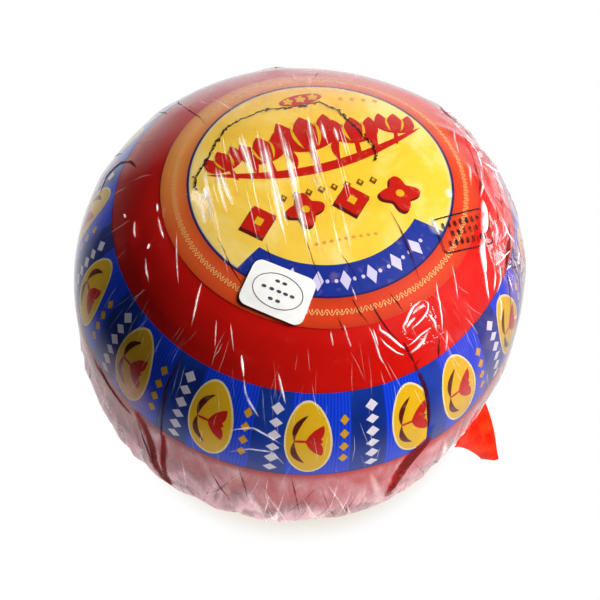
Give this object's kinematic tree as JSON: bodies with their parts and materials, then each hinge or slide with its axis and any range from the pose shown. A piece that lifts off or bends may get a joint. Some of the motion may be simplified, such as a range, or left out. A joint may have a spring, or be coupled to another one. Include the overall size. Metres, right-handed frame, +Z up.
{
  "type": "ball of cheese",
  "caption": "Whole red-coated ball of cheese, slightly flattened, in tight clear film with a round label, a side band and a small sticker.",
  "frame": {"origin": "middle of the flat spot that the ball stands on", "axes": "+Z up through the top label, -Y towards the front where the sticker is"},
  "size_m": [0.15, 0.1488, 0.1209],
  "materials": {
    "red_coating": "smooth wax coating",
    "label_print": "printed",
    "band_print": "printed",
    "clear_film": "clear film",
    "white_sticker": "satin",
    "red_film": "glossy"
  },
  "bodies": {
    "root": {"cheese_ball": "red_coating", "top_label": "label_print", "side_band": "band_print", "clear_film": "clear_film", "approval_sticker": "white_sticker", "film_tail": "red_film"}
  },
  "joints": []
}
